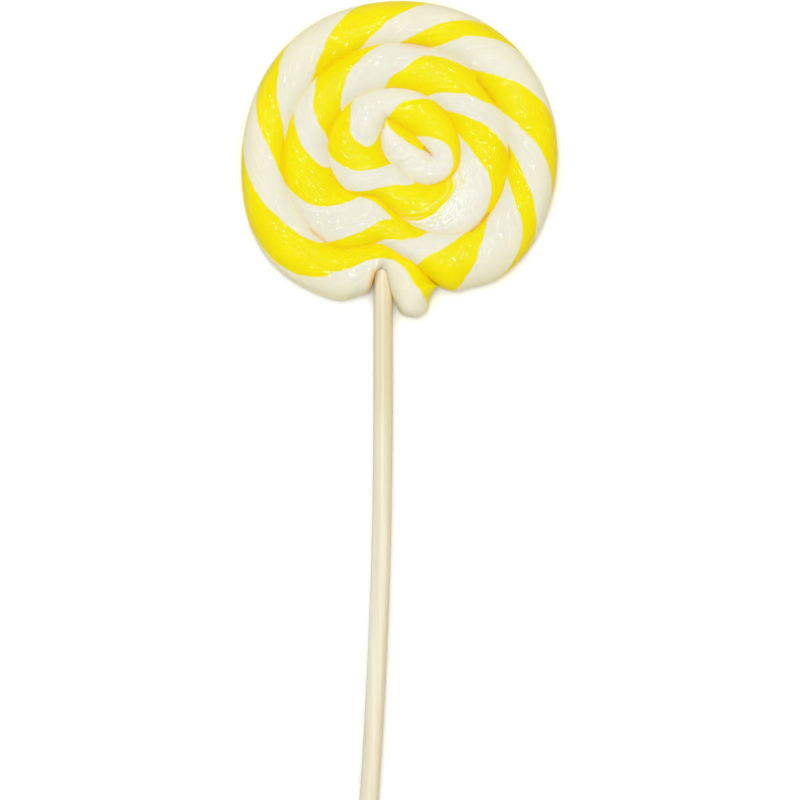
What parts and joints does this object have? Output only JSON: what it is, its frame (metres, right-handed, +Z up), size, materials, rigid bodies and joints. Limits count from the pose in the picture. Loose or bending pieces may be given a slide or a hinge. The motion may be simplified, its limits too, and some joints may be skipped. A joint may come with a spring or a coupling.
{
  "type": "swirl lollipop",
  "caption": "Flat round swirl lollipop: a yellow and white twisted sugar rope coiled into a disc on a plain round wooden stick.",
  "frame": {"origin": "centre of the bounding box at the level of the surface it lies on", "axes": "+Y from the stick's free end towards the head, +Z up out of the shown face"},
  "size_m": [0.0778, 0.2148, 0.0106],
  "materials": {
    "pulled_sugar": "glossy pulled sugar, lemon yellow and milk white strands twisted together",
    "birch_wood": "smooth unvarnished birch"
  },
  "bodies": {
    "root": {"candy_head": "pulled_sugar", "stick": "birch_wood"}
  },
  "joints": []
}
